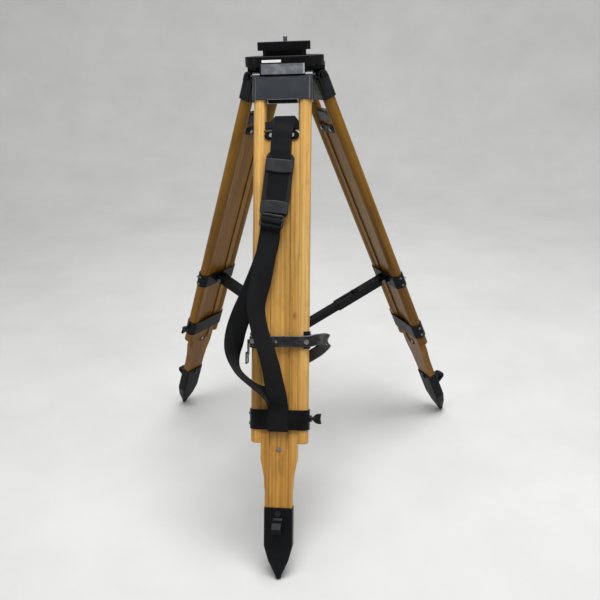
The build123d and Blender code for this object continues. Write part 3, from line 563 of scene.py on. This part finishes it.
def face_plate(name, outlines, n0, n1, bevel, place, material):
    """Plate on the leg's face from outlines in millimetres (the first is the rim, the rest are windows)."""
    data = bpy.data.curves.new(name, "CURVE")
    data.dimensions = "2D"
    data.fill_mode = "BOTH"
    for outline in outlines:
        spline = data.splines.new("POLY")
        spline.points.add(len(outline) - 1)
        for point, (x, y) in zip(spline.points, outline):
            point.co = (x / 1000, y / 1000, 0, 1)
        spline.use_cyclic_u = True
    data.extrude = (n1 - n0) / 2000 - bevel / 1000
    data.bevel_depth = bevel / 1000
    data.bevel_resolution = 3
    data.offset = -bevel / 1000
    source = bpy.data.objects.new(name + "_curve", data)
    bpy.context.collection.objects.link(source)
    mesh = bpy.data.meshes.new_from_object(source.evaluated_get(bpy.context.evaluated_depsgraph_get()))
    bpy.data.objects.remove(source)
    mesh.name = name
    t, s, turn = place
    lift = Matrix.Translation((0, 0, (n0 + n1) / 2000))
    frame_here = leg_frame(t, s, turn)
    mesh.transform(frame_here @ Matrix.Rotation(math.pi / 2, 4, "X") @ lift)
    mesh.materials.clear()
    mesh.materials.append(material)
    obj = bpy.data.objects.new(name, mesh)
    bpy.context.collection.objects.link(obj)
    for poly in mesh.polygons:
        poly.use_smooth = True
    return obj


def grid_sheet(name, rows, thickness, place, material):
    """Solid sheet from rows of (x, n, z) points in millimetres, thickened to both sides, edges rounded."""
    t, s, turn = place
    frame_here = leg_frame(t, s, turn)
    width = len(rows[0])
    verts = [frame_here @ Vector((x / 1000, -n / 1000, z / 1000)) for row in rows for x, n, z in row]
    faces = []
    for i in range(len(rows) - 1):
        for k in range(width - 1):
            a = i * width + k
            faces.append((a, a + 1, a + width + 1, a + width))
    mesh = bpy.data.meshes.new(name)
    mesh.from_pydata(verts, [], faces)
    obj = bpy.data.objects.new(name, mesh)
    bpy.context.collection.objects.link(obj)
    solid = obj.modifiers.new("thick", "SOLIDIFY")
    solid.thickness = thickness / 1000
    solid.offset = 0.0
    smooth = obj.modifiers.new("round", "SUBSURF")
    smooth.levels = smooth.render_levels = 2
    mesh.materials.append(material)
    for poly in mesh.polygons:
        poly.use_smooth = True
    return obj


def pad_outline(inset):
    out = []
    for x, z in rounded_rectangle(33.5 - inset, 71 - inset, 10, 10):
        pinch = 1 - 0.13 * max(0.0, 1 - ((71 - abs(z)) / 14) ** 2) if abs(z) > 57 else 1
        out.append((x * pinch, z))
    return out


PAD_PLACE = (-8.0, 243.2, 6.5)
pad = face_plate("pad", [pad_outline(0)], 18.2, 21.6, 1.2, PAD_PLACE, dark_rubber)
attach(pad, "leg_front")
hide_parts("shoulder_pad")
for tag, centre, half in (("upper", 43.0, 13.0), ("lower", -50.0, 12.5)):
    rows = []
    for i in range(9):
        v = -1 + 2 * i / 8
        row = []
        for k in range(17):
            u = -1 + 2 * k / 16
            arch = 20.6 + 5.6 * (1 - abs(u) ** 7)
            bow = 3.2 * (1 - u * u) * (1 if tag == "lower" else -1)
            curve = bow if (v > 0) == (tag == "lower") else 0
            row.append((29.5 * u, arch, centre + half * v + curve * abs(v)))
        rows.append(row)
    rows = [[(x * 1.08, n, z) for x, n, z in row] for row in rows]
    loop = grid_sheet("pad_loop_" + tag, rows, 1.7, PAD_PLACE, rubber)
    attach(loop, "leg_front")

SLIDER_PLACE = (-18.0, 322.5, 10.0)
windows = [[(x, y + dy) for x, y in rounded_rectangle(23.6, 4.0, 1.6)][::-1] for dy in (5.8, -5.8)]
adjuster_loops = [rounded_rectangle(26.5, 14.5, 4.0)] + windows
adjuster = face_plate("adjuster", adjuster_loops, 27.6, 30.6, 0.9, SLIDER_PLACE, frame_plastic)
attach(adjuster, "leg_front")
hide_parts("strap_adjuster")


fold_path = [(-20.9, 342.5, 26.4, 0), (-20.4, 339.4, 30.6, 0)]
fold_path += [(-19.9, 336.6, 32.9, 0), (-19.4, 333.6, 33.0, 0)]
fold_path += [(-19.0, 331.4, 31.4, 0)]
fold = band_mesh("strap_fold", fold_path, 22.6, 1.7, np.array([1.0, 0, 0]), 1.2, 0.0, webbing)
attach(fold, "leg_front")


# ------------------------------------------------------------------ floor and light
floor_mesh = bpy.data.meshes.new("floor")
# a round sweep: flat in the middle, curving up into a wall on every side
FLAT_RADIUS = 2.6
CURVE_RADIUS = 2.6
CURVE_STEPS = 16
WALL_TOP = 6.0
SIDES = 72
profile = [(0.05, 0.0), (FLAT_RADIUS, 0.0)]
for i in range(1, CURVE_STEPS + 1):
    sweep = math.radians(90 * i / CURVE_STEPS)
    out_by, up_by = CURVE_RADIUS * math.sin(sweep), CURVE_RADIUS * (1 - math.cos(sweep))
    profile.append((FLAT_RADIUS + out_by, up_by))
profile.append((FLAT_RADIUS + CURVE_RADIUS, WALL_TOP))
ring_points = []
ring_faces = [tuple(range(SIDES))]
for radius, height in profile:
    for k in range(SIDES):
        turn = 2 * math.pi * k / SIDES
        ring_points.append((radius * math.cos(turn), radius * math.sin(turn), height - SEAT))
for i in range(len(profile) - 1):
    for k in range(SIDES):
        m = (k + 1) % SIDES
        ring_faces.append((i * SIDES + k, (i + 1) * SIDES + k, (i + 1) * SIDES + m, i * SIDES + m))
floor_mesh.from_pydata(ring_points, [], ring_faces)
for face in floor_mesh.polygons:
    face.use_smooth = True
floor = bpy.data.objects.new("floor", floor_mesh)
bpy.context.collection.objects.link(floor)
pale = Shader("pale_floor")
spots = pale.noise(pale.coords(), 3.0, 5.0, 0.6)
pale.set(Base_Color=pale.ramp(spots, [(0.3, (0.50, 0.50, 0.495)), (0.7, (0.55, 0.55, 0.545))]))
pale.set(Roughness=0.75)
floor_mesh.materials.append(pale.mat)

world = bpy.data.worlds.new("world")
bpy.context.scene.world = world
world.use_nodes = True
world.node_tree.nodes["Background"].inputs[0].default_value = (0.86, 0.87, 0.88, 1)
world.node_tree.nodes["Background"].inputs[1].default_value = 0.42


def area(name, place, aim, size, power, colour=(1, 1, 1)):
    data = bpy.data.lights.new(name, "AREA")
    data.shape = "RECTANGLE"
    data.size, data.size_y = size
    data.energy = power
    data.color = colour
    light = bpy.data.objects.new(name, data)
    bpy.context.collection.objects.link(light)
    light.location = place
    light.rotation_euler = (Vector(aim) - Vector(place)).to_track_quat("-Z", "Y").to_euler()


area("ceiling", (0.3, -0.5, 2.3), (0, -0.2, -0.6), (2.2, 1.4), 135)
area("side", (2.4, -1.6, 0.9), (0, 0, -0.5), (1.2, 1.8), 20)
area("left", (-1.9, -1.3, 0.5), (0, 0, -0.2), (0.25, 1.6), 9)
area("backdrop", (0.0, 1.6, 2.6), (0, 4.0, -0.2), (3.2, 1.0), 62)

bpy.context.scene.view_settings.view_transform = "Standard"
